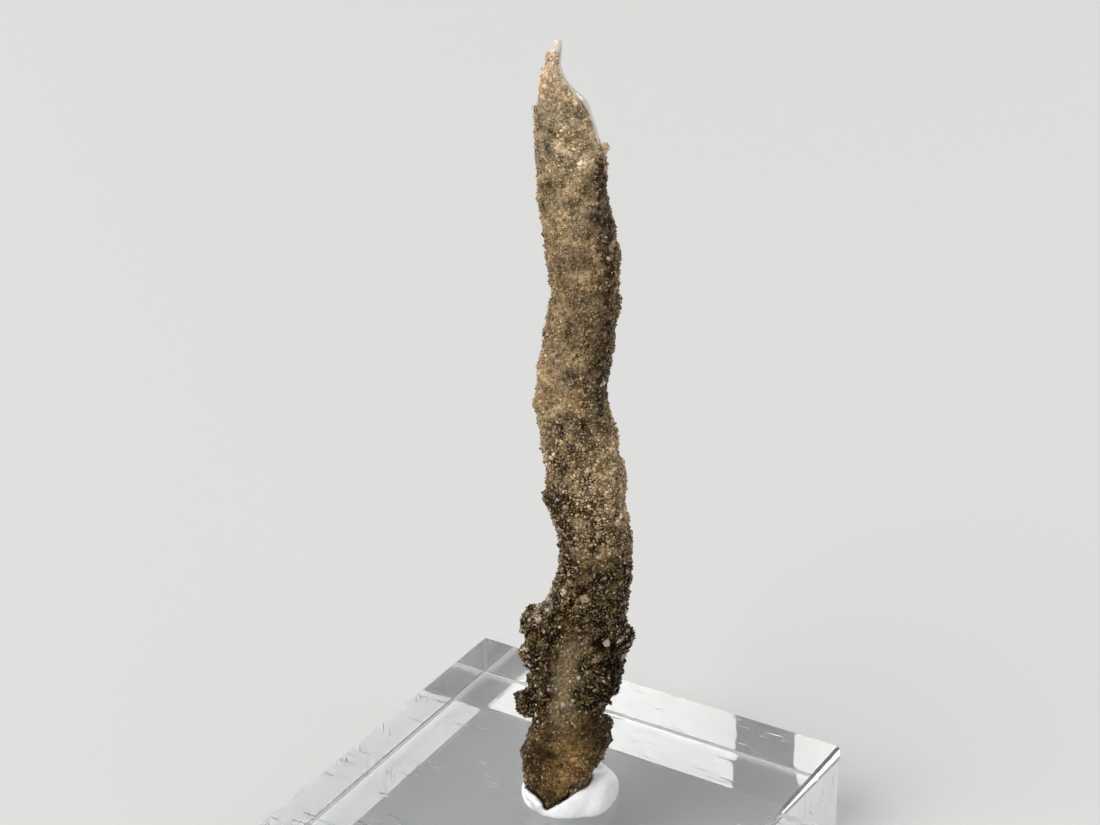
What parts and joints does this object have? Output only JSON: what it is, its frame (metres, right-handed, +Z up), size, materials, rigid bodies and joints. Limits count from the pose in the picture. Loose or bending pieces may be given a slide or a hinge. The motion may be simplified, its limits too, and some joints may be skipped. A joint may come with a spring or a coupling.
{
  "type": "fulgurite",
  "caption": "Upright fulgurite, a hollow sand-crusted tube of lightning-fused sand with a broken splinter top, held by white putty on a clear square block.",
  "frame": {"origin": "centre of the display block's underside", "axes": "+Z up along the standing specimen; X and Y along the block's sides. The specimen's front faces 30.7 degrees from -Y towards +X"},
  "size_m": [0.0508, 0.0508, 0.1056],
  "materials": {
    "fused_sand": "matte",
    "white_putty": "matte",
    "clear_acrylic": "polished"
  },
  "bodies": {
    "root": {"fulgurite": "fused_sand", "putty": "white_putty", "display_block": "clear_acrylic"}
  },
  "joints": []
}
